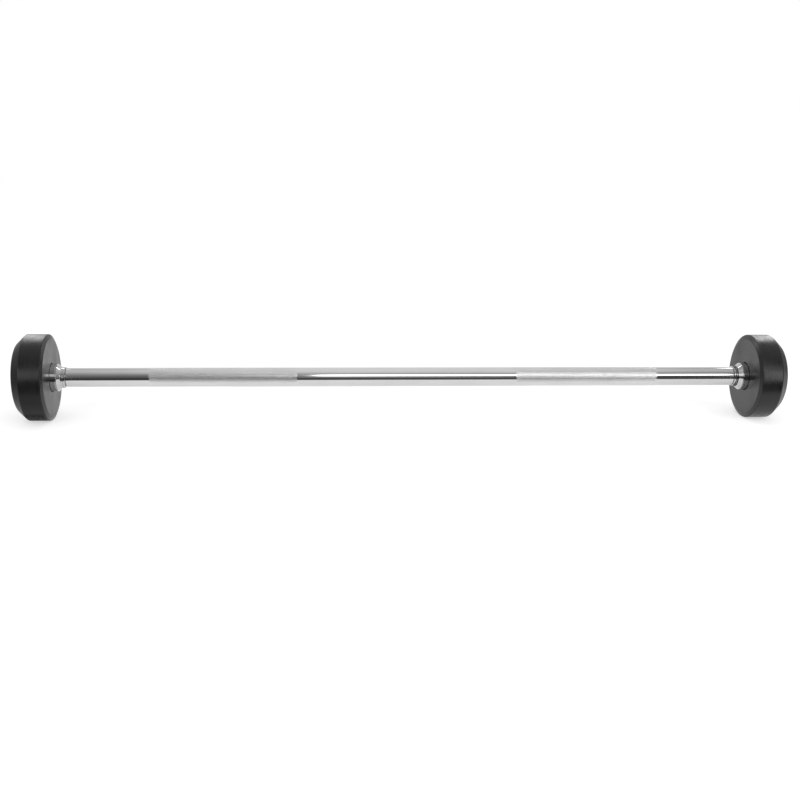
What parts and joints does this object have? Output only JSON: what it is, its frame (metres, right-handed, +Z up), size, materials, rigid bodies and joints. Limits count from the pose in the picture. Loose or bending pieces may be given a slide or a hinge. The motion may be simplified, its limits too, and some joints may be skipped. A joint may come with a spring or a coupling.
{
  "type": "fixed barbell",
  "caption": "Straight fixed-weight barbell: chromed bar with knurled grips, round coned collars and bolted-on rubber-covered iron heads.",
  "frame": {"origin": "middle of the bar, on its axis, which is also the middle of the whole object", "axes": "+X along the bar towards the right-hand head, +Z up, +Y away from the picture's camera"},
  "size_m": [1.1246, 0.1254, 0.1254],
  "materials": {
    "bar_chrome": "polished chrome, diamond-knurled grips",
    "collar_chrome": "polished chrome",
    "head_rubber": "black moulded rubber, satin",
    "cap_rubber": "black moulded rubber, fine grain",
    "core_iron": "bare casting, turned faces",
    "plain_steel": "zinc-plated steel",
    "screw_steel": "blackened steel"
  },
  "bodies": {
    "root": {"bar": "bar_chrome", "retaining_ring_left": "collar_chrome", "retaining_ring_right": "collar_chrome", "collar_nut_left": "collar_chrome", "collar_nut_right": "collar_chrome", "spacer_left": "collar_chrome", "spacer_right": "collar_chrome", "head_cover_left": "head_rubber", "head_cover_right": "head_rubber", "head_core_left": "core_iron", "head_core_right": "core_iron", "spigot_key_left": "plain_steel", "spigot_key_right": "plain_steel", "clamp_washer_left": "plain_steel", "clamp_washer_right": "plain_steel", "spring_washer_left": "plain_steel", "spring_washer_right": "plain_steel", "clamp_screw_left": "screw_steel", "clamp_screw_right": "screw_steel", "end_cap_left": "cap_rubber", "end_cap_right": "cap_rubber"}
  },
  "joints": []
}
